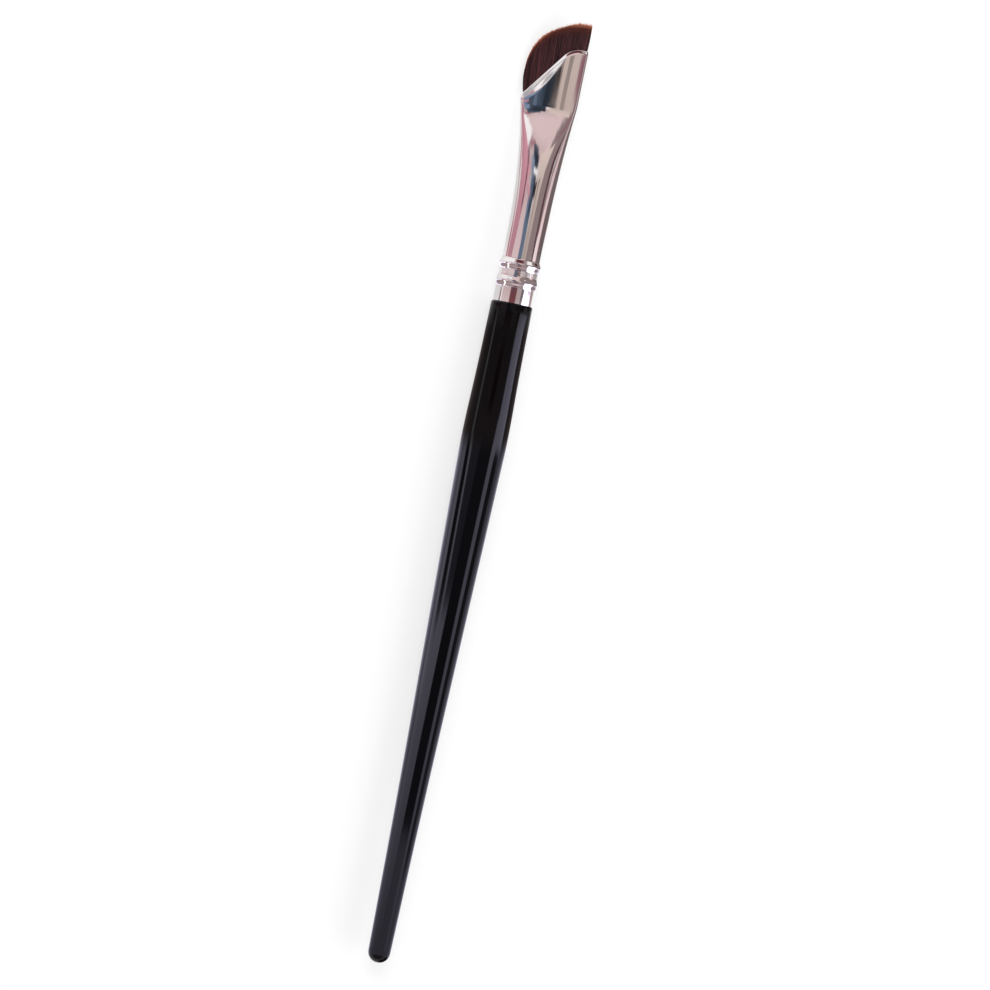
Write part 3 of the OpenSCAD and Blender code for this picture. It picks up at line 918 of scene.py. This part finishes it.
# Strength of the surround in soft light, and as the camera and the gloss see it
SOFT_WORLD = 0.57
SEEN_WORLD = 1.0

# The floor that the camera sees: its own glow, and how much of the light and shadow it takes up
FLOOR_GLOW = 0.64
FLOOR_SHOWN = 0.36


class BRUSH_OT_stage(bpy.types.Operator):
    """Set up the floor, the studio cards, the lamps, the world and the camera"""

    bl_idname = "eyeliner.make_stage"
    bl_label = "Make Stage"

    def floor(self, stage):
        """A pale floor that shows white to the camera and keeps the brush's shadow."""
        bm = bmesh.new()
        bmesh.ops.create_grid(bm, x_segments=1, y_segments=1, size=3)
        mesh = bpy.data.meshes.new("floor")
        bm.to_mesh(mesh)
        bm.free()
        floor = bpy.data.objects.new("floor", mesh)
        bpy.context.scene.collection.objects.link(floor)
        material, tree, shader = start_material("pale_floor")
        shader.inputs["Base Color"].default_value = (*stage.floor, 1)
        shader.inputs["Roughness"].default_value = 1.0
        shader.inputs["Specular IOR Level"].default_value = 0.0
        shown = tree.nodes.new("ShaderNodeBsdfDiffuse")
        shown.inputs["Color"].default_value = (FLOOR_SHOWN, FLOOR_SHOWN, FLOOR_SHOWN, 1)
        glow = tree.nodes.new("ShaderNodeEmission")
        glow.inputs["Strength"].default_value = FLOOR_GLOW
        both = tree.nodes.new("ShaderNodeAddShader")
        tree.links.new(shown.outputs["BSDF"], both.inputs[0])
        tree.links.new(glow.outputs["Emission"], both.inputs[1])
        path = tree.nodes.new("ShaderNodeLightPath")
        choose = tree.nodes.new("ShaderNodeMixShader")
        tree.links.new(path.outputs["Is Camera Ray"], choose.inputs["Fac"])
        tree.links.new(shader.outputs["BSDF"], choose.inputs[1])
        tree.links.new(both.outputs["Shader"], choose.inputs[2])
        tree.links.new(choose.outputs["Shader"], tree.nodes["Material Output"].inputs["Surface"])
        mesh.materials.append(material)
        floor.visible_glossy = False
        floor.visible_transmission = False

    def card(self, stage, name, angle_from, angle_to, y_from, y_to, radius, twist, colour, lower, upper):
        """One studio card, bent round the brush, soft at its edges and seen only in the gloss."""
        bm = bmesh.new()
        first = math.radians(angle_from)
        corner = Vector((radius * math.sin(first), 0, radius * math.cos(first)))
        soft = min(stage.card_soft, (y_to - y_from) / 3)
        rows = [y_from, y_from + soft, (y_from + y_to) / 2, y_to - soft, y_to]
        points = [bm.verts.new(corner + Vector((0, y, 0))) for y in rows]
        for a, b in zip(points, points[1:]):
            bm.edges.new((a, b))
        bmesh.ops.spin(
            bm,
            geom=bm.verts[:] + bm.edges[:],
            cent=(0, 0, 0),
            axis=(0, 1, 0),
            dvec=(0, 0, 0),
            angle=math.radians(angle_to - angle_from),
            steps=CARD_STEPS,
            use_merge=False,
        )
        tint = bm.verts.layers.float_color.new("tint")
        side = min(1 / 6, stage.card_side / (angle_to - angle_from))
        for vertex in bm.verts:
            along = (vertex.co.y - y_from) / (y_to - y_from)
            angle = math.degrees(math.atan2(vertex.co.x, vertex.co.z))
            past = (angle - angle_from + ANGLE_SLACK) % 360 - ANGLE_SLACK
            around = past / (angle_to - angle_from)
            solid = ease(min(around, 1 - around) / side)
            solid *= ease(min(along, 1 - along) * (y_to - y_from) / soft)
            tone = mix(CARD_TONES[lower], CARD_TONES[upper], clamp(along))
            vertex[tint] = (*(value * tone for value in CARD_COLOURS[colour]), solid)
            vertex.co = Matrix.Rotation(math.radians(twist * along), 3, "Y") @ vertex.co
        bm.transform(BRUSH)
        mesh = bpy.data.meshes.new(name + "_card")
        bm.to_mesh(mesh)
        bm.free()
        card = bpy.data.objects.new(name + "_card", mesh)
        bpy.context.scene.collection.objects.link(card)
        material, tree, _ = start_material(name + "_card")
        painted = tree.nodes.new("ShaderNodeAttribute")
        painted.attribute_name = "tint"
        glow = tree.nodes.new("ShaderNodeEmission")
        clear = tree.nodes.new("ShaderNodeBsdfTransparent")
        blend = tree.nodes.new("ShaderNodeMixShader")
        tree.links.new(painted.outputs["Color"], glow.inputs["Color"])
        tree.links.new(painted.outputs["Alpha"], blend.inputs["Fac"])
        tree.links.new(clear.outputs["BSDF"], blend.inputs[1])
        tree.links.new(glow.outputs["Emission"], blend.inputs[2])
        tree.links.new(blend.outputs["Shader"], tree.nodes["Material Output"].inputs["Surface"])
        mesh.materials.append(material)
        for way in ("camera", "diffuse", "transmission", "volume_scatter", "shadow"):
            setattr(card, "visible_" + way, False)

    def lamp(self, name, place, size, watts):
        """A soft lamp that looks at the middle of the brush and isn't seen in its gloss."""
        data = bpy.data.lights.new(name, "AREA")
        data.shape = "SQUARE"
        data.size = size
        data.energy = watts
        lamp = bpy.data.objects.new(name, data)
        lamp.location = place
        lamp.rotation_euler = (-Vector(place)).to_track_quat("-Z", "Y").to_euler()
        lamp.visible_glossy = False
        bpy.context.scene.collection.objects.link(lamp)

    def world(self):
        """A white surround for the camera and for gloss, and a plain grey one for soft light."""
        world = bpy.data.worlds.new("studio")
        world.use_nodes = True
        tree = world.node_tree
        path = tree.nodes.new("ShaderNodeLightPath")
        seen = path.outputs["Is Camera Ray"]
        for kind in ("Is Glossy Ray", "Is Transmission Ray"):
            both = tree.nodes.new("ShaderNodeMath")
            both.operation = "MAXIMUM"
            tree.links.new(seen, both.inputs[0])
            tree.links.new(path.outputs[kind], both.inputs[1])
            seen = both.outputs[0]
        strength = add_range(tree, seen, SOFT_WORLD, SEEN_WORLD)
        tree.links.new(strength, tree.nodes["Background"].inputs["Strength"])
        tree.nodes["Background"].inputs["Color"].default_value = (1, 1, 1, 1)
        bpy.context.scene.world = world

    def camera(self, stage):
        """The camera over the flat face, leaning so that the brush stands as photographed."""
        data = bpy.data.cameras.new("camera")
        data.sensor_width = 36
        data.lens = data.sensor_width * stage.camera_distance / (PHOTO_WIDTH * PIXEL)
        data.clip_end = 20
        camera = bpy.data.objects.new("camera", data)
        lean = Matrix.Rotation(LEAN, 4, "Z")
        aim = Matrix.Translation((stage.aim_x, stage.aim_y, stage.camera_distance))
        camera.matrix_world = BRUSH @ aim @ lean
        bpy.context.scene.collection.objects.link(camera)
        bpy.context.scene.camera = camera

    def execute(self, context):
        stage = context.scene.brush_stage
        self.floor(stage)
        for card in CARDS:
            self.card(stage, *card)
        for lamp in LAMPS:
            self.lamp(*lamp)
        self.world()
        self.camera(stage)
        context.scene.view_settings.view_transform = "Standard"
        return {"FINISHED"}


class BRUSH_PT_panel(bpy.types.Panel):
    """The brush's steps, in the order in which they are made"""

    bl_idname = "BRUSH_PT_panel"
    bl_label = "Eyeliner Brush"
    bl_space_type = "VIEW_3D"
    bl_region_type = "UI"
    bl_category = "Brush"

    def draw(self, context):
        for operator in OPERATORS:
            self.layout.operator(operator.bl_idname)
        for name in SETTINGS:
            box = self.layout.box()
            group = getattr(context.scene, name)
            for prop in group.bl_rna.properties:
                if not prop.is_readonly and prop.identifier != "name":
                    box.prop(group, prop.identifier)


OPERATORS = (BRUSH_OT_handle, BRUSH_OT_ferrule, BRUSH_OT_hair, BRUSH_OT_glue, BRUSH_OT_stage)
SETTINGS = {
    "brush_handle": BrushHandleSettings,
    "brush_ferrule": BrushFerruleSettings,
    "brush_hair": BrushHairSettings,
    "brush_stage": BrushStageSettings,
}


def register():
    """Registers the settings, the operators and the panel."""
    for name, group in SETTINGS.items():
        bpy.utils.register_class(group)
        setattr(bpy.types.Scene, name, bpy.props.PointerProperty(type=group))
    for operator in OPERATORS:
        bpy.utils.register_class(operator)
    bpy.utils.register_class(BRUSH_PT_panel)


def unregister():
    """Takes the panel, the operators and the settings away again."""
    bpy.utils.unregister_class(BRUSH_PT_panel)
    for operator in reversed(OPERATORS):
        bpy.utils.unregister_class(operator)
    for name, group in SETTINGS.items():
        delattr(bpy.types.Scene, name)
        bpy.utils.unregister_class(group)


def main():
    """Makes every piece and the stage."""
    register()
    bpy.ops.eyeliner.make_handle()
    bpy.ops.eyeliner.make_ferrule()
    bpy.ops.eyeliner.make_hair()
    bpy.ops.eyeliner.finish_glue()
    bpy.ops.eyeliner.make_stage()


if __name__ == "__main__":
    main()
